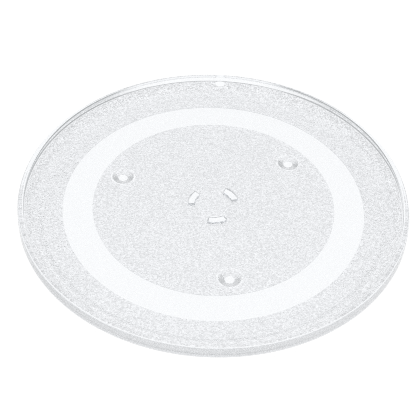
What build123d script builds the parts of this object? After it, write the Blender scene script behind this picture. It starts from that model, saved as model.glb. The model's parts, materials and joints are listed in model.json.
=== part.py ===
from build123d import *
import os
from math import hypot, radians, sin, tan

# Microwave turntable plate: one piece of clear pressed glass, in millimetres.
# The origin lies on the plate's axis at the surface it stands on, with +Z up.
# One foot and one coupler lug lie on -Y.

# Base disc
plate_diameter = 315.0
base_thickness = 4.0

# Rim, with heights taken from the underside of the base to the top of the lip
rim_height = 13.6
rim_band_height = 8.0  # the plain outer face, from the mould seam to the top of the lip
seam_step = 0.5  # the plain outer face stands this far proud of the heel below it
lip_width = 4.5
lip_round = 2.0
well_wall_slope = 68.0  # degrees from level, on the food side
well_cove_radius = 12.5
heel_width = 18.9  # the slope under the rim, from the plate's edge to the flat of the underside

# Roller track, a shallow smooth groove in the underside
rim_to_track = 35.1
track_width = 24.1
track_recess = 0.3

# Feet and coupler lugs share the same spokes
spoke_count = 3
first_spoke_angle = -90.0

# Feet, short cones on the underside
foot_height = 4.0
foot_base_diameter = 17.5
foot_end_diameter = 8.0
foot_track_gap = 8.3  # from the foot's base to the roller track
foot_end_chamfer = 0.6
foot_root_fillet = 1.2

# Coupler lugs, arcs round the drive coupler with their ends clear of the table
lug_inner_radius = 15.1
lug_thickness = 6.3
lug_span = 46.0  # degrees
lug_table_gap = 0.4
lug_draft = 6.0  # degrees, on the outer wall
lug_edge_chamfer = 0.8

# Feet and lugs run up into the base to half its thickness before they are joined to it
embed = base_thickness / 2
level_tolerance = 0.01
round_share = 0.96  # the part of a straight side that a round may take up

# Heights above the table
underside = foot_height
well_floor = underside + base_thickness
lip_top = underside + rim_height
seam_height = lip_top - rim_band_height
lug_end = lug_table_gap
root_top = underside + embed

# Radii from the plate's axis
plate_radius = plate_diameter / 2
seam_radius = plate_radius - seam_step
heel_foot_radius = plate_radius - heel_width
track_outer_radius = plate_radius - rim_to_track
track_inner_radius = track_outer_radius - track_width
foot_base_radius = foot_base_diameter / 2
foot_end_radius = foot_end_diameter / 2
foot_circle_radius = track_inner_radius - foot_track_gap - foot_base_radius
lug_outer_radius = lug_inner_radius + lug_thickness


def corner_of(face, point):
    """Return the corner of a flat face that lies at a sketch point."""
    return face.vertices().sort_by_distance((*point, 0))[0]


def largest_round(side_length, turn):
    """Return the largest radius that a straight side can hold at a corner of that turn in degrees."""
    return round_share * side_length / tan(radians(turn / 2))


def make_dish():
    """Return the base disc with its rim, revolved from one section."""
    wall_rise = lip_top - well_floor
    lip_outer = (plate_radius, lip_top)
    lip_inner = (plate_radius - lip_width, lip_top)
    well_corner = (lip_inner[0] - wall_rise / tan(radians(well_wall_slope)), well_floor)
    outline = Polyline(
        (0, underside),
        (track_inner_radius, underside),
        (track_inner_radius, underside + track_recess),
        (track_outer_radius, underside + track_recess),
        (track_outer_radius, underside),
        (heel_foot_radius, underside),
        (seam_radius, seam_height),
        (plate_radius, seam_height),
        lip_outer,
        lip_inner,
        well_corner,
        (0, well_floor),
        close=True,
    )
    lip_radius = min(lip_round, round_share * lip_width / 2)
    wall_left = wall_rise / sin(radians(well_wall_slope)) - lip_radius * tan(radians(well_wall_slope / 2))
    cove_radius = min(well_cove_radius, largest_round(wall_left, well_wall_slope))
    section = make_face(outline)
    section = fillet(corner_of(section, lip_outer), lip_radius)
    section = fillet(corner_of(section, lip_inner), lip_radius)
    section = fillet(corner_of(section, well_corner), cove_radius)
    return revolve(Plane.XZ * section, Axis.Z)


def make_foot():
    """Return one foot about the axis, a cone that narrows to its flat end on the table."""
    end_corner = (foot_end_radius, 0)
    outline = Polyline(
        (0, 0),
        end_corner,
        (foot_base_radius, underside),
        (foot_base_radius, root_top),
        (0, root_top),
        close=True,
    )
    section = chamfer(corner_of(make_face(outline), end_corner), foot_end_chamfer)
    return revolve(Plane.XZ * section, Axis.Z)


def make_lug():
    """Return one coupler lug on +X, an arc with a plain inner wall, a drafted outer wall and bevels."""
    draft = tan(radians(lug_draft))
    outline = Polyline(
        (lug_inner_radius, root_top),
        (lug_inner_radius, lug_end),
        (lug_outer_radius - draft * (underside - lug_end), lug_end),
        (lug_outer_radius + draft * embed, root_top),
        close=True,
    )
    arc = Rot(Z=-lug_span / 2) * revolve(Plane.XZ * make_face(outline), Axis.Z, lug_span)
    free_edges = [edge for edge in arc.edges() if edge.center().Z < root_top - level_tolerance]
    return chamfer(free_edges, lug_edge_chamfer)


def is_foot_root(edge):
    """Say whether an edge is the circle where a foot meets the underside."""
    middle = edge.position_at(0.5)
    on_underside = abs(middle.Z - underside) < level_tolerance
    on_foot_circle = abs(hypot(middle.X, middle.Y) - foot_circle_radius) < foot_base_radius + level_tolerance
    return on_underside and on_foot_circle


feet = [place * make_foot() for place in PolarLocations(foot_circle_radius, spoke_count, first_spoke_angle)]
lugs = [place * make_lug() for place in PolarLocations(0, spoke_count, first_spoke_angle)]
plate = make_dish() + feet + lugs
foot_roots = [edge for edge in plate.edges() if is_foot_root(edge)]
plate = fillet(foot_roots, foot_root_fillet)

os.makedirs("parts", exist_ok=True)
export_step(plate, "parts/turntable_plate.step")
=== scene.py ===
"""Looks of a microwave turntable plate: one piece of clear pressed glass on white paper."""

import json
import logging
import math
from dataclasses import dataclass, field
from enum import Enum

import bmesh
import bpy
from mathutils import Matrix, Vector, noise

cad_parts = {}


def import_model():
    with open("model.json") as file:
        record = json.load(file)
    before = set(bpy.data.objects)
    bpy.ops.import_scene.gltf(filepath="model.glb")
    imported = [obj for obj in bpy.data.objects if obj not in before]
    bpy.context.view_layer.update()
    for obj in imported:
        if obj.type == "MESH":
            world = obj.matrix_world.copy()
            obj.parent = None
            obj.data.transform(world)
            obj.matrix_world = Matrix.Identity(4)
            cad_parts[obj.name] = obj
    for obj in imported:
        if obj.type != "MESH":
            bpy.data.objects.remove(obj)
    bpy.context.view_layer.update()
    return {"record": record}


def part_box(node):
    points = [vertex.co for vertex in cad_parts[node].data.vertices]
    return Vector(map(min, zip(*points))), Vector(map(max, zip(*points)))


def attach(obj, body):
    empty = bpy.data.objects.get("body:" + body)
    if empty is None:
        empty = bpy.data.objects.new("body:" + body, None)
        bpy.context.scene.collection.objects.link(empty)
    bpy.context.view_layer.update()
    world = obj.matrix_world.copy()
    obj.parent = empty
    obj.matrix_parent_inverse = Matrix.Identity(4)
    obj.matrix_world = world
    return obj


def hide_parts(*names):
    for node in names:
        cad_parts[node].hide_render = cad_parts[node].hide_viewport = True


MM = 0.001
CM = 10 * MM
FULL_TURN = 2 * math.pi
PLATE_NODE = "turntable_plate"
PLATE_BODY = "root"
FOOT_MOUNTS = ("foot_front", "foot_right", "foot_left")
WELD = 0.001 * MM
WEDGES = 15
CIRCULAR = 0.5
LEVEL_PART = (1.0, 1.0, 0.0)

log = logging.getLogger("turntable_plate")

Colour = tuple[float, float, float, float]
Circle = tuple[float, float]
Socket = bpy.types.NodeSocket


class Glass(Enum):
    """Which of the plate's materials a face has, by its slot number."""

    PLAIN = 0
    # The stippled glass carries painted shade as well as its grain.
    STIPPLED = 1


class Round(Enum):
    """How many segments round each kind of corner."""

    LIP = 10
    COVE = 20
    HEEL = 4
    RELIEF = 4


@dataclass(frozen=True)
class Corner:
    """One corner of a section line: distance from the axis, height and rounding radius."""

    radius: float
    height: float
    rounding: float = 0.0
    kind: Round = Round.RELIEF

    def point(self) -> Vector:
        """Return the corner in the section's plane."""
        return Vector((self.radius, 0.0, self.height))


@dataclass(frozen=True)
class Ring:
    """A flat ring of the grained disc: where it starts and ends, and its steps round the axis."""

    low: float
    high: float
    steps: int


def radius_of(point: Vector) -> float:
    """Return how far a point lies from the plate's axis."""
    return math.hypot(point.x, point.y)


def mesh_object(name: str, bm: bmesh.types.BMesh) -> bpy.types.Object:
    """Turn a bmesh into a linked object at the origin.

    Args:
        name: Name of the object and its mesh.
        bm: The finished bmesh, which is freed.

    Returns:
        The new object.
    """
    mesh = bpy.data.meshes.new(name)
    bm.to_mesh(mesh)
    bm.free()
    item = bpy.data.objects.new(name, mesh)
    bpy.context.scene.collection.objects.link(item)
    return item


def round_off(bm: bmesh.types.BMesh, geom: list, offset: float, segments: int, affect: str) -> None:
    """Round vertices or edges of a bmesh with circular profiles.

    Args:
        bm: The bmesh to change.
        geom: The vertices or edges to round.
        offset: How far the round reaches along the sides.
        segments: How many segments the round has.
        affect: "VERTICES" or "EDGES".
    """
    bmesh.ops.bevel(
        bm,
        geom=geom,
        offset=offset,
        offset_type="OFFSET",
        affect=affect,
        segments=segments,
        profile=CIRCULAR,
        material=-1,
    )


def draw_section(bm: bmesh.types.BMesh, corners: list[Corner], hold: float) -> None:
    """Draw an open section line and round its corners.

    Args:
        bm: The bmesh to draw in.
        corners: The corners in order.
        hold: Width of the plain strip that is kept beside each round, so that flats shade flat.
    """
    line = []
    rounds = []
    for index, corner in enumerate(corners):
        here = corner.point()
        if not corner.rounding:
            line.append(bm.verts.new(here))
            continue
        before = (corners[index - 1].point() - here).normalized()
        after = (corners[index + 1].point() - here).normalized()
        reach = corner.rounding * math.tan((math.pi - before.angle(after)) / 2)
        line.append(bm.verts.new(here + before * (reach + hold)))
        line.append(bm.verts.new(here))
        rounds.append((line[-1], reach, corner.kind.value))
        line.append(bm.verts.new(here + after * (reach + hold)))
    for first, second in zip(line, line[1:]):
        bm.edges.new((first, second))
    for vert, reach, segments in rounds:
        round_off(bm, [vert], reach, segments, "VERTICES")


def turn(bm: bmesh.types.BMesh, geom: list, steps: int, angle: float) -> list:
    """Spin a part of a bmesh about the plate's axis by part of a turn.

    Args:
        bm: The bmesh to change.
        geom: What is carried round.
        steps: How many steps the turn takes.
        angle: How far it goes, in radians.

    Returns:
        What was carried round, at the end of the turn.
    """
    spun = bmesh.ops.spin(
        bm,
        geom=geom,
        cent=(0, 0, 0),
        axis=(0, 0, 1),
        dvec=(0, 0, 0),
        angle=angle,
        steps=steps,
        use_merge=False,
        use_duplicate=False,
    )
    return spun["geom_last"]


def revolve(bm: bmesh.types.BMesh, steps: int) -> None:
    """Carry a section line right round the plate's axis, one wedge after another.

    Args:
        bm: The bmesh that holds the section line alone.
        steps: How many steps the full turn takes, a multiple of the wedges.
    """
    turn(bm, [*bm.verts, *bm.edges], steps // WEDGES, FULL_TURN / WEDGES)
    wedge = bm.copy()
    for number in range(1, WEDGES):
        copy = wedge.copy()
        place = Matrix.Rotation(number * FULL_TURN / WEDGES, 3, "Z")
        bmesh.ops.rotate(copy, verts=copy.verts, cent=(0, 0, 0), matrix=place)
        add_to(bm, copy)
    wedge.free()
    bmesh.ops.remove_doubles(bm, verts=bm.verts, dist=WELD)


def add_to(bm: bmesh.types.BMesh, part: bmesh.types.BMesh) -> None:
    """Add one bmesh to another and free it.

    Args:
        bm: The bmesh to add to.
        part: The bmesh that is added and freed.
    """
    mesh = bpy.data.meshes.new("part")
    part.to_mesh(mesh)
    part.free()
    bm.from_mesh(mesh)
    bpy.data.meshes.remove(mesh)


@dataclass(frozen=True)
class Stipple:
    """The pebbled relief that the mould leaves on the underside."""

    pitch: float = 2.1 * MM
    height: float = 0.12 * MM
    fine_share: float = 0.45
    fine_ratio: float = 1.9

    def relief(self, point: Vector) -> float:
        """Work out how far the glass stands out at a point of the underside.

        Args:
            point: The point, on the smooth surface.

        Returns:
            The height of the pebbles there, negative in the hollows.
        """
        coarse = noise.noise(point / self.pitch)
        fine = noise.noise(point * (self.fine_ratio / self.pitch))
        return 2 * self.height * (coarse + self.fine_share * fine)


def multiplied(tree: bpy.types.NodeTree, first: Socket, second: Socket) -> Socket:
    """Multiply two values of a material.

    Args:
        tree: The material's nodes.
        first: One value.
        second: The other value.

    Returns:
        Their product.
    """
    node = tree.nodes.new("ShaderNodeMath")
    node.operation = "MULTIPLY"
    tree.links.new(first, node.inputs[0])
    tree.links.new(second, node.inputs[1])
    return node.outputs["Value"]


@dataclass(frozen=True)
class GlassFinish:
    """Clear soda-lime glass, plain where the mould is polished and grained where it is stippled,
    with painted shade speckled over the stippled glass and deeper on the heel.
    """

    tint: Colour = (0.972, 0.986, 1.0, 1.0)
    # Painted shade: the stippled glass's tint is a little darker than plain glass, and its cells
    # darken towards black, standing in for light that the stipple scatters away.
    tint_and_painted_shade: Colour = (0.955, 0.970, 0.995, 1.0)
    painted_shade_black: Colour = (0.0, 0.0, 0.0, 1.0)
    ior: float = 1.5
    wave_size: float = 22.0 * MM
    wave_height: float = 0.015 * MM
    grain_size: float = 1.0 * MM
    grain_height: float = 0.30 * MM
    grain_smoothness: float = 0.6
    painted_shade_size: float = 0.95 * MM
    painted_shade_depth: float = 0.44
    heel_start: float = 140.0 * MM
    heel_end: float = 150.0 * MM
    heel_painted_shade_gain: float = 1.4
    flat_bump: float = 1.0
    heel_bump: float = 0.05

    def waves(self) -> bpy.types.NodeTree:
        """Make the node group of the slow waves that pressing leaves in the glass.

        Returns:
            The node group, which puts out the height of the waves at a place.
        """
        group = bpy.data.node_groups.new("pressed_waves", "ShaderNodeTree")
        group.interface.new_socket("Place", in_out="INPUT", socket_type="NodeSocketVector")
        group.interface.new_socket("Wave Scale", in_out="INPUT", socket_type="NodeSocketFloat")
        group.interface.new_socket("Height", in_out="OUTPUT", socket_type="NodeSocketFloat")
        entry = group.nodes.new("NodeGroupInput")
        way_out = group.nodes.new("NodeGroupOutput")
        swell = group.nodes.new("ShaderNodeTexNoise")
        swell.inputs["Detail"].default_value = 0.0
        group.links.new(entry.outputs["Place"], swell.inputs["Vector"])
        group.links.new(entry.outputs["Wave Scale"], swell.inputs["Scale"])
        group.links.new(swell.outputs["Fac"], way_out.inputs["Height"])
        return group

    def body(self, name: str, waves: bpy.types.NodeTree) -> tuple[bpy.types.Material, Socket]:
        """Make a glass with the pressed waves, which both kinds share.

        Args:
            name: Name of the material.
            waves: The node group of the waves.

        Returns:
            The material and the Object coordinates in it.
        """
        glass = bpy.data.materials.new(name)
        glass.use_nodes = True
        nodes = glass.node_tree.nodes
        links = glass.node_tree.links
        shader = nodes["Principled BSDF"]
        shader.inputs["Base Color"].default_value = self.tint
        shader.inputs["IOR"].default_value = self.ior
        shader.inputs["Transmission Weight"].default_value = 1.0
        shader.inputs["Roughness"].default_value = 0.0
        place = nodes.new("ShaderNodeTexCoord").outputs["Object"]
        swell = nodes.new("ShaderNodeGroup")
        swell.node_tree = waves
        swell.inputs["Wave Scale"].default_value = 1 / self.wave_size
        links.new(place, swell.inputs["Place"])
        bump = nodes.new("ShaderNodeBump")
        bump.inputs["Distance"].default_value = self.wave_height
        links.new(swell.outputs["Height"], bump.inputs["Height"])
        links.new(bump.outputs["Normal"], shader.inputs["Normal"])
        return glass, place

    def plain(self, waves: bpy.types.NodeTree) -> bpy.types.Material:
        """Return the plain glass."""
        return self.body("plain_glass", waves)[0]

    def across(self, tree: bpy.types.NodeTree, place: Socket, flat: float, heel: float) -> Socket:
        """Make a value that goes over from the flat of the underside to the heel.

        Args:
            tree: The material's nodes.
            place: The Object coordinates.
            flat: The value on the flat.
            heel: The value on the heel.

        Returns:
            The value at the point.
        """
        level = tree.nodes.new("ShaderNodeVectorMath")
        level.operation = "MULTIPLY"
        level.inputs[1].default_value = LEVEL_PART
        tree.links.new(place, level.inputs[0])
        away = tree.nodes.new("ShaderNodeVectorMath")
        away.operation = "LENGTH"
        tree.links.new(level.outputs["Vector"], away.inputs[0])
        span = tree.nodes.new("ShaderNodeMapRange")
        span.interpolation_type = "SMOOTHSTEP"
        span.inputs["From Min"].default_value = self.heel_start
        span.inputs["From Max"].default_value = self.heel_end
        span.inputs["To Min"].default_value = flat
        span.inputs["To Max"].default_value = heel
        tree.links.new(away.outputs["Value"], span.inputs["Value"])
        return span.outputs["Result"]

    def stippled(self, waves: bpy.types.NodeTree) -> bpy.types.Material:
        """Make the glass with a fine grain, and with painted shade: cells of random darkness in its
        colour that stand in for the light the stipple scatters.

        Args:
            waves: The node group of the waves.

        Returns:
            The material.
        """
        glass, place = self.body("stippled_glass_painted_shade", waves)
        tree = glass.node_tree
        nodes = tree.nodes
        links = tree.links
        shader = nodes["Principled BSDF"]
        grain = nodes.new("ShaderNodeTexVoronoi")
        grain.feature = "SMOOTH_F1"
        grain.inputs["Scale"].default_value = 1 / self.grain_size
        grain.inputs["Smoothness"].default_value = self.grain_smoothness
        links.new(place, grain.inputs["Vector"])
        bump = nodes.new("ShaderNodeBump")
        bump.inputs["Distance"].default_value = self.grain_height
        links.new(grain.outputs["Distance"], bump.inputs["Height"])
        strength = self.across(tree, place, self.flat_bump, self.heel_bump)
        links.new(strength, bump.inputs["Strength"])
        links.new(shader.inputs["Normal"].links[0].from_socket, bump.inputs["Normal"])
        links.new(bump.outputs["Normal"], shader.inputs["Normal"])
        # Painted shade: each cell darkens the base colour by a random share, standing in for light
        # scattered by the stipple.
        painted_shade_cells = nodes.new("ShaderNodeTexVoronoi")
        painted_shade_cells.inputs["Scale"].default_value = 1 / self.painted_shade_size
        links.new(place, painted_shade_cells.inputs["Vector"])
        painted_shade_chance = nodes.new("ShaderNodeSeparateColor")
        links.new(painted_shade_cells.outputs["Color"], painted_shade_chance.inputs["Color"])
        shade = nodes.new("ShaderNodeValToRGB")
        shade.color_ramp.elements[0].color = self.tint_and_painted_shade
        shade.color_ramp.elements[1].color = self.painted_shade_black
        # The painted shade is deeper on the heel than on the flat.
        painted_shade_amount = self.across(tree, place, self.painted_shade_depth, self.painted_shade_depth * self.heel_painted_shade_gain)
        painted_darkening = multiplied(tree, painted_shade_amount, painted_shade_chance.outputs["Red"])
        links.new(painted_darkening, shade.inputs["Fac"])
        links.new(shade.outputs["Color"], shader.inputs["Base Color"])
        return glass


@dataclass(frozen=True)
class FloorFinish:
    """White seamless paper that keeps a faint shadow."""

    paper: Colour = (0.10, 0.10, 0.10, 1.0)
    glow: float = 0.965

    def material(self) -> bpy.types.Material:
        """Make the paper, which glows white to the lens and through the glass.

        It is clear from below, so that the plate's underside can be looked at.

        Returns:
            The material.
        """
        paper = bpy.data.materials.new("white_paper")
        paper.use_nodes = True
        nodes = paper.node_tree.nodes
        links = paper.node_tree.links
        nodes.remove(nodes["Principled BSDF"])
        output = nodes["Material Output"]
        diffuse = nodes.new("ShaderNodeBsdfDiffuse")
        diffuse.inputs["Color"].default_value = self.paper
        path = nodes.new("ShaderNodeLightPath")
        seen = path.outputs["Is Camera Ray"]
        for kind in ("Is Glossy Ray", "Is Transmission Ray"):
            either = nodes.new("ShaderNodeMath")
            either.operation = "MAXIMUM"
            links.new(seen, either.inputs[0])
            links.new(path.outputs[kind], either.inputs[1])
            seen = either.outputs[0]
        level = nodes.new("ShaderNodeMath")
        level.operation = "MULTIPLY"
        level.inputs[1].default_value = self.glow
        links.new(seen, level.inputs[0])
        glow = nodes.new("ShaderNodeEmission")
        links.new(level.outputs[0], glow.inputs["Strength"])
        both = nodes.new("ShaderNodeAddShader")
        links.new(diffuse.outputs[0], both.inputs[0])
        links.new(glow.outputs[0], both.inputs[1])
        side = nodes.new("ShaderNodeMixShader")
        links.new(nodes.new("ShaderNodeNewGeometry").outputs["Backfacing"], side.inputs["Fac"])
        links.new(both.outputs[0], side.inputs[1])
        links.new(nodes.new("ShaderNodeBsdfTransparent").outputs[0], side.inputs[2])
        links.new(side.outputs[0], output.inputs["Surface"])
        return paper


@dataclass
class CouplerLugs:
    """Three arcs under the middle of the plate that the drive coupler turns."""

    inner_radius: float
    underside: float
    spokes: list[float]
    thickness: float = 6.3 * MM
    span: float = math.radians(46)
    table_gap: float = 0.4 * MM
    draft: float = math.radians(6)
    edge: float = 1.4 * MM
    end_share: float = 1.4
    crease: float = math.radians(30)
    steps: int = 20

    def build(self, embed: float) -> bmesh.types.BMesh:
        """Make the lugs.

        Args:
            embed: How far they run up into the base.

        Returns:
            The three lugs, each a closed mesh.
        """
        lean = math.tan(self.draft)
        outer = self.inner_radius + self.thickness
        drop = self.underside - self.table_gap
        corners = (
            (self.inner_radius, self.underside + embed),
            (self.inner_radius, self.table_gap),
            (outer - lean * drop, self.table_gap),
            (outer + lean * embed, self.underside + embed),
        )
        lug = bmesh.new()
        face = lug.faces.new([lug.verts.new((radius, 0, height)) for radius, height in corners])
        geom = [face, *face.verts, *face.edges]
        end = self.end_share * self.edge / self.inner_radius
        for steps, angle in ((1, end), (self.steps, self.span - 2 * end), (1, end)):
            geom = turn(lug, geom, steps, angle)
        middle = Matrix.Rotation(-self.span / 2, 3, "Z")
        bmesh.ops.rotate(lug, verts=lug.verts, cent=(0, 0, 0), matrix=middle)
        bmesh.ops.recalc_face_normals(lug, faces=lug.faces)
        free = [edge for edge in lug.edges if edge.calc_face_angle() > self.crease]
        free = [edge for edge in free if min(vert.co.z for vert in edge.verts) < self.underside]
        round_off(lug, free, self.edge, Round.RELIEF.value, "EDGES")
        lugs = bmesh.new()
        for spoke in self.spokes:
            copy = lug.copy()
            place = Matrix.Rotation(spoke, 3, "Z")
            bmesh.ops.rotate(copy, verts=copy.verts, cent=(0, 0, 0), matrix=place)
            add_to(lugs, copy)
        lug.free()
        return lugs


@dataclass
class PlateFeet:
    """Three short cones that the plate stands on."""

    centres: list[Vector]
    underside: float
    base_radius: float = 8.75 * MM
    end_radius: float = 4.0 * MM
    end_round: float = 2.0 * MM
    root_round: float = 1.2 * MM
    root_reach: float = 1.8 * MM
    root_lift: float = 0.02 * MM
    hold: float = 0.1 * MM
    flank: float = 0.98
    steps: int = 60

    def build(self, embed: float) -> bmesh.types.BMesh:
        """Make the feet, with stippled flanks.

        Args:
            embed: How far they run up into the base.

        Returns:
            The three feet, each a closed mesh.
        """
        flare = self.base_radius + self.root_reach
        corners = [
            Corner(0.0, 0.0),
            Corner(self.end_radius, 0.0, self.end_round),
            Corner(self.base_radius, self.underside, self.root_round),
            Corner(flare, self.underside + self.root_lift),
            Corner(flare, self.underside + embed),
            Corner(0.0, self.underside + embed),
        ]
        foot = bmesh.new()
        draw_section(foot, corners, self.hold)
        revolve(foot, self.steps)
        bmesh.ops.recalc_face_normals(foot, faces=foot.faces)
        # The flanks take the stippled glass, with its painted shade.
        for face in foot.faces:
            if abs(face.normal.z) < self.flank:
                face.material_index = Glass.STIPPLED.value
        feet = bmesh.new()
        for centre in self.centres:
            copy = foot.copy()
            bmesh.ops.translate(copy, verts=copy.verts, vec=centre)
            add_to(feet, copy)
        foot.free()
        return feet


@dataclass
class MouldMark:
    """A small smooth oval that stands out like a lens on the stippled heel."""

    bearing: float = math.radians(79.2)
    axis_distance: float = 153.6 * MM
    half_width: float = 4.8 * MM
    half_depth: float = 3.4 * MM
    height: float = 0.5 * MM
    segments: int = 48
    rings: int = 16

    def build(self, level: float, slope: float) -> bmesh.types.BMesh:
        """Return the oval, half sunk in the heel.

        Args:
            level: Height of the heel's surface under the middle of the oval.
            slope: How steeply the heel rises outwards, in radians.

        Returns:
            The oval as a closed lens.
        """
        lens = bmesh.new()
        bmesh.ops.create_uvsphere(lens, u_segments=self.segments, v_segments=self.rings, radius=1.0)
        bmesh.ops.scale(lens, verts=lens.verts, vec=(self.half_depth, self.half_width, self.height))
        tilt = Matrix.Rotation(-slope, 3, "Y")
        bmesh.ops.rotate(lens, verts=lens.verts, cent=(0, 0, 0), matrix=tilt)
        bmesh.ops.translate(lens, verts=lens.verts, vec=(self.axis_distance, 0, level))
        swing = Matrix.Rotation(self.bearing, 3, "Z")
        bmesh.ops.rotate(lens, verts=lens.verts, cent=(0, 0, 0), matrix=swing)
        return lens


@dataclass
class TurntablePlate:
    """The glass plate: base disc, rim, roller track, feet and coupler lugs in one mesh."""

    radius: float
    lip_top: float
    well_floor: float
    track_level: float
    coupler_radius: float
    foot_centres: list[Vector]
    track_inner: float = 98.3 * MM
    track_outer: float = 122.4 * MM
    track_recess: float = 0.3 * MM
    rim_band: float = 8.0 * MM
    band_draft: float = math.radians(4)
    seam_step: float = 0.5 * MM
    seam_droop: float = 0.05 * MM
    lip_width: float = 4.5 * MM
    lip_round: float = 1.8 * MM
    wall_slope: float = math.radians(68)
    cove_radius: float = 12.5 * MM
    heel_width: float = 18.9 * MM
    heel_round: float = 1.5 * MM
    middle_radius: float = 60.0 * MM
    halvings: int = 4
    grain_step: float = 0.95 * MM
    stipple_margin: float = 0.3 * MM
    downward: float = -0.1
    hold: float = 0.15 * MM
    near: float = 0.01 * MM
    rim_steps: int = 240
    grain_steps: int = 720
    sharp: float = math.radians(35)
    mark: MouldMark = field(default_factory=MouldMark)
    stipple: Stipple = field(default_factory=Stipple)
    finish: GlassFinish = field(default_factory=GlassFinish)

    def __post_init__(self) -> None:
        """Work out the levels and the sub-parts from the given sizes."""
        self.underside = self.track_level - self.track_recess
        self.seam_level = self.lip_top - self.rim_band
        self.heel_foot = self.radius - self.heel_width
        spokes = [math.atan2(centre.y, centre.x) for centre in self.foot_centres]
        self.feet = PlateFeet(self.foot_centres, self.underside)
        self.lugs = CouplerLugs(self.coupler_radius, self.underside, spokes)

    def disc_rings(self) -> list[Ring]:
        """Divide the grained disc into rings whose steps double outwards.

        Returns:
            The rings, from the axis to the roller track.
        """
        edges = [self.middle_radius / 2**halving for halving in range(self.halvings)]
        bounds = [0.0, *reversed(edges), self.track_inner]
        first_steps = self.grain_steps // 2**self.halvings
        pairs = enumerate(zip(bounds, bounds[1:]))
        return [Ring(low, high, first_steps * 2**number) for number, (low, high) in pairs]

    def grain_line(self, bm: bmesh.types.BMesh, low: float) -> None:
        """Divide the edges of a section line to the grain's step.

        Args:
            bm: The bmesh that holds the section line alone.
            low: The radius that the divided edges start from.
        """
        start = low - self.near
        outside = [e for e in bm.edges if min(radius_of(v.co) for v in e.verts) > start]
        for edge in outside:
            cuts = int(edge.calc_length() / self.grain_step)
            if cuts:
                bmesh.ops.subdivide_edges(bm, edges=[edge], cuts=cuts)

    def build_disc(self, bm: bmesh.types.BMesh) -> None:
        """Add the grained disc inside the roller track, ring by ring.

        Args:
            bm: The bmesh to add it to.
        """
        for ring in self.disc_rings():
            part = bmesh.new()
            start = ring.low + self.grain_step if ring.low else 0.0
            ends = [Corner(start, self.underside), Corner(ring.high, self.underside)]
            draw_section(part, ends, self.hold)
            self.grain_line(part, start)
            revolve(part, ring.steps)
            add_to(bm, part)

    def seam_edges(self) -> tuple[Circle, Circle]:
        """Return the radius and level of the seam's two edges, the heel's and the rim band's."""
        heel_edge = (self.radius - self.seam_step, self.seam_level)
        return heel_edge, (self.radius, self.seam_level - self.seam_droop)

    def build_outside(self, bm: bmesh.types.BMesh) -> None:
        """Add the track, the grained flat and the heel, up to the mould seam.

        Args:
            bm: The bmesh to add them to.
        """
        corners = [
            Corner(self.track_inner, self.underside),
            Corner(self.track_inner, self.track_level),
            Corner(self.track_outer, self.track_level),
            Corner(self.track_outer, self.underside),
            Corner(self.heel_foot, self.underside, self.heel_round, Round.HEEL),
            Corner(*self.seam_edges()[0]),
        ]
        part = bmesh.new()
        draw_section(part, corners, self.hold)
        self.grain_line(part, self.track_outer)
        revolve(part, self.grain_steps)
        add_to(bm, part)

    def build_rim(self, bm: bmesh.types.BMesh) -> None:
        """Add the plain rim band, the lip, the cove and the floor of the well.

        Args:
            bm: The bmesh to add them to.
        """
        lean = self.rim_band * math.tan(self.band_draft)
        lip_inner = self.radius - self.lip_width
        wall_foot = lip_inner - (self.lip_top - self.well_floor) / math.tan(self.wall_slope)
        corners = [
            Corner(*self.seam_edges()[1]),
            Corner(self.radius - lean, self.lip_top, self.lip_round, Round.LIP),
            Corner(lip_inner, self.lip_top, self.lip_round, Round.LIP),
            Corner(wall_foot, self.well_floor, self.cove_radius, Round.COVE),
            Corner(self.middle_radius, self.well_floor),
        ]
        part = bmesh.new()
        draw_section(part, corners, self.hold)
        revolve(part, self.rim_steps)
        add_to(bm, part)
        rims = [edge for edge in bm.edges if edge.is_boundary]
        circle = (self.middle_radius, self.well_floor)
        middle = [edge for edge in rims if self.on_circle(edge, *circle)]
        bmesh.ops.contextual_create(bm, geom=middle)

    def on_circle(self, edge: bmesh.types.BMEdge, radius: float, level: float) -> bool:
        """Say whether an edge lies on a circle about the axis.

        Args:
            edge: The edge.
            radius: Radius of the circle.
            level: Height of the circle.

        Returns:
            True when both ends of the edge lie on the circle.
        """
        across = [abs(radius_of(vert.co) - radius) for vert in edge.verts]
        along = [abs(vert.co.z - level) for vert in edge.verts]
        return max(across + along) < self.near

    def bridge(self, bm: bmesh.types.BMesh, first: Circle, second: Circle) -> None:
        """Join two open circles.

        Args:
            bm: The bmesh to change.
            first: Radius and level of one circle.
            second: Radius and level of the other.
        """
        rims = [edge for edge in bm.edges if edge.is_boundary]
        pair = (first, second)
        loops = [edge for edge in rims if any(self.on_circle(edge, *circle) for circle in pair)]
        bmesh.ops.bridge_loops(bm, edges=loops)

    def is_stippled(self, face: bmesh.types.BMFace) -> bool:
        """Say whether a face of the shell lies on the stippled part of its underside.

        Args:
            face: The face.

        Returns:
            True on the disc, the outer flat and the heel.
        """
        middle = face.calc_center_median()
        on_track = self.track_inner - WELD < radius_of(middle) < self.track_outer + WELD
        below_seam = middle.z < self.seam_level - self.stipple_margin
        return face.normal.z < self.downward and below_seam and not on_track

    def grain(self, bm: bmesh.types.BMesh) -> None:
        """Give the stippled faces their glass and raise the pebbles on the flat of the underside.

        Args:
            bm: The closed shell.
        """
        for face in bm.faces:
            if self.is_stippled(face):
                face.material_index = Glass.STIPPLED.value
        moves = []
        for vert in bm.verts:
            on_flat = radius_of(vert.co) < self.heel_foot
            slots = {face.material_index for face in vert.link_faces}
            if on_flat and slots == {Glass.STIPPLED.value}:
                moves.append((vert, vert.normal * self.stipple.relief(vert.co)))
        for vert, move in moves:
            vert.co += move

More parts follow.
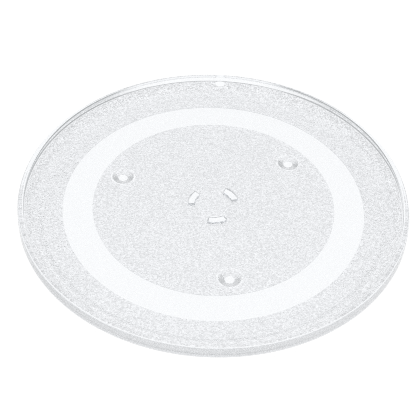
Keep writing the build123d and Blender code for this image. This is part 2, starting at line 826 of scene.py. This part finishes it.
    def build_shell(self) -> bpy.types.Object:
        """Make the plate without its feet, lugs and mark, closed and stippled.

        Returns:
            The shell as an object.
        """
        bm = bmesh.new()
        self.build_disc(bm)
        self.build_outside(bm)
        self.build_rim(bm)
        for ring in self.disc_rings()[1:]:
            inner = (ring.low, self.underside)
            outer = (ring.low + self.grain_step, self.underside)
            self.bridge(bm, inner, outer)
        bmesh.ops.remove_doubles(bm, verts=bm.verts, dist=WELD)
        self.bridge(bm, *self.seam_edges())
        bmesh.ops.recalc_face_normals(bm, faces=bm.faces)
        bm.normal_update()
        self.grain(bm)
        open_edges = sum(not edge.is_manifold for edge in bm.edges)
        volume = bm.calc_volume() / CM**3
        log.info("shell: %d faces, %d open edges, %.1f cm3", len(bm.faces), open_edges, volume)
        return mesh_object("turntable_plate_glass", bm)

    def build(self) -> bpy.types.Object:
        """Make the dressed plate, which stands for the CAD plate.

        Returns:
            The plate as one object in its two glasses.
        """
        plate = self.build_shell()
        waves = self.finish.waves()
        for material in (self.finish.plain(waves), self.finish.stippled(waves)):
            plate.data.materials.append(material)
        embed = (self.well_floor - self.underside) / 2
        relief = self.feet.build(embed)
        add_to(relief, self.lugs.build(embed))
        rise = (self.seam_level - self.underside) / (self.heel_width - self.seam_step)
        mark_level = self.underside + rise * (self.mark.axis_distance - self.heel_foot)
        add_to(relief, self.mark.build(mark_level, math.atan(rise)))
        self.join(plate, mesh_object("relief", relief))
        plate.data.polygons.foreach_set("use_smooth", [True] * len(plate.data.polygons))
        plate.data.set_sharp_from_angle(angle=self.sharp)
        return plate

    def join(self, plate: bpy.types.Object, relief: bpy.types.Object) -> None:
        """Fuse a relief into the plate's mesh and remove the relief's own object.

        Args:
            plate: The plate, whose mesh is replaced.
            relief: The relief, closed and partly sunk in the plate.
        """
        for material in plate.data.materials:
            relief.data.materials.append(material)
        union = plate.modifiers.new("join", "BOOLEAN")
        union.operation = "UNION"
        union.solver = "MANIFOLD"
        union.object = relief
        graph = bpy.context.evaluated_depsgraph_get()
        fused = bpy.data.meshes.new_from_object(plate.evaluated_get(graph))
        plate.modifiers.remove(union)
        plate.data = fused
        bpy.data.objects.remove(relief)


@dataclass(frozen=True)
class PhotoCamera:
    """The lens and the place that the photograph was taken from."""

    lens: float = 84.64
    elevation: float = math.radians(44.74)
    turn: float = math.radians(-10.35)
    roll: float = math.radians(2.22)
    distance: float = 807.1 * MM
    aim_right: float = -2.74 * MM
    aim_back: float = -6.32 * MM
    level: float = 4.0 * MM
    nearest: float = 10.0 * MM

    def build(self) -> bpy.types.Object:
        """Make the camera and set it as the scene's own.

        Returns:
            The camera.
        """
        swing = Matrix.Rotation(self.turn, 3, "Z")
        centre = Vector((0, 0, self.level))
        reach = Vector((0, -math.cos(self.elevation), math.sin(self.elevation)))
        place = centre + swing @ (reach * self.distance)
        aim = centre + swing @ Vector((self.aim_right, self.aim_back, 0))
        back = (place - aim).normalized()
        right = Vector((0, 0, 1)).cross(back).normalized()
        up = back.cross(right)
        tilt_right = right * math.cos(self.roll) + up * math.sin(self.roll)
        tilt_up = up * math.cos(self.roll) - right * math.sin(self.roll)
        data = bpy.data.cameras.new("photo_camera")
        data.lens = self.lens
        data.clip_start = self.nearest
        camera = bpy.data.objects.new("photo_camera", data)
        bpy.context.scene.collection.objects.link(camera)
        turned = Matrix((tilt_right, tilt_up, back)).transposed().to_4x4()
        camera.matrix_world = Matrix.Translation(place) @ turned
        bpy.context.scene.camera = camera
        return camera


@dataclass(frozen=True)
class Studio:
    """White paper that sweeps up, a soft overhead lamp, a grey ceiling and grey side flags."""

    floor_size: float = 8.0
    sweep: Colour = (1.0, 1.0, 1.0, 1.0)
    ceiling: Colour = (0.48, 0.483, 0.49, 1.0)
    sweep_end: float = math.radians(22)
    ceiling_start: float = math.radians(34)
    flag: Colour = (0.42, 0.43, 0.43, 1.0)
    flag_start: float = math.radians(35)
    flag_end: float = math.radians(50)
    lamp_size: float = 1.2
    lamp_height: float = 1.4
    lamp_back: float = 0.2
    lamp_power: float = 2.2
    light_bounces: int = 64
    glass_blur: float = 0.0
    filter_width: float = 1.0
    denoise: bool = False
    paper: FloorFinish = field(default_factory=FloorFinish)

    def build(self) -> None:
        """Add the floor, the lamp and the room, and set how the light is traced."""
        self.lay_floor()
        self.hang_lamp()
        self.light_room()
        self.set_tracing()

    def lay_floor(self) -> None:
        """Add the paper that the plate lies on."""
        bm = bmesh.new()
        bmesh.ops.create_grid(bm, x_segments=1, y_segments=1, size=self.floor_size / 2)
        floor = mesh_object("studio_floor", bm)
        floor.data.materials.append(self.paper.material())

    def hang_lamp(self) -> None:
        """Add the soft lamp, about as bright to look at as the ceiling."""
        lamp = bpy.data.lights.new("overhead_softbox", "AREA")
        lamp.shape = "SQUARE"
        lamp.size = self.lamp_size
        lamp.energy = self.lamp_power
        item = bpy.data.objects.new("overhead_softbox", lamp)
        item.location = (0, self.lamp_back, self.lamp_height)
        bpy.context.scene.collection.objects.link(item)

    def light_room(self) -> None:
        """Add the room: a white sweep, a grey ceiling over it and a grey flag on either side."""
        world = bpy.data.worlds.new("studio_room")
        world.use_nodes = True
        nodes = world.node_tree.nodes
        links = world.node_tree.links
        way = nodes.new("ShaderNodeSeparateXYZ")
        links.new(nodes.new("ShaderNodeTexCoord").outputs["Generated"], way.inputs["Vector"])
        rise = nodes.new("ShaderNodeMapRange")
        rise.interpolation_type = "SMOOTHSTEP"
        rise.inputs["From Min"].default_value = math.sin(self.sweep_end)
        rise.inputs["From Max"].default_value = math.sin(self.ceiling_start)
        links.new(way.outputs["Z"], rise.inputs["Value"])
        shade = nodes.new("ShaderNodeValToRGB")
        shade.color_ramp.elements[0].color = self.sweep
        shade.color_ramp.elements[1].color = self.ceiling
        links.new(rise.outputs["Result"], shade.inputs["Fac"])
        aside = nodes.new("ShaderNodeMath")
        aside.operation = "ABSOLUTE"
        links.new(way.outputs["X"], aside.inputs[0])
        near_flag = nodes.new("ShaderNodeMapRange")
        near_flag.interpolation_type = "SMOOTHSTEP"
        near_flag.inputs["From Min"].default_value = math.sin(self.flag_start)
        near_flag.inputs["From Max"].default_value = math.sin(self.flag_end)
        links.new(aside.outputs["Value"], near_flag.inputs["Value"])
        room = nodes.new("ShaderNodeMixRGB")
        room.inputs["Color2"].default_value = self.flag
        links.new(near_flag.outputs["Result"], room.inputs["Fac"])
        links.new(shade.outputs["Color"], room.inputs["Color1"])
        links.new(room.outputs["Color"], nodes["Background"].inputs["Color"])
        bpy.context.scene.world = world

    def set_tracing(self) -> None:
        """Set how colours are shown and how far light is followed through the glass."""
        scene = bpy.context.scene
        scene.view_settings.view_transform = "Standard"
        scene.cycles.max_bounces = self.light_bounces
        scene.cycles.glossy_bounces = self.light_bounces
        scene.cycles.transmission_bounces = self.light_bounces
        scene.cycles.blur_glossy = self.glass_blur
        scene.cycles.filter_width = self.filter_width
        scene.cycles.use_denoising = self.denoise


def mount_of(record: dict, name: str) -> dict:
    """Return one of the record's mounts."""
    return next(mount for mount in record["mounts"] if mount["name"] == name)


def mount_point(record: dict, name: str) -> Vector:
    """Return the place of one of the record's mounts."""
    return Vector(mount_of(record, name)["pos_m"])


def main() -> None:
    """Build the plate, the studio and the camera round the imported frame."""
    logging.basicConfig(level=logging.INFO, format="%(name)s: %(message)s")
    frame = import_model()
    record = frame["record"]
    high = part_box(PLATE_NODE)[1]
    plate = TurntablePlate(
        radius=high.x,
        lip_top=high.z,
        well_floor=mount_point(record, "well_floor").z,
        track_level=mount_point(record, "roller_track").z,
        coupler_radius=mount_of(record, "coupler_socket")["dims"]["r_mm"] * MM,
        foot_centres=[mount_point(record, name) for name in FOOT_MOUNTS],
    )
    glass = plate.build()
    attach(glass, PLATE_BODY)
    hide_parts(PLATE_NODE)
    mesh = glass.data
    log.info("%s: %d vertices, %d faces", glass.name, len(mesh.vertices), len(mesh.polygons))
    Studio().build()
    PhotoCamera().build()


if __name__ == "__main__":
    main()
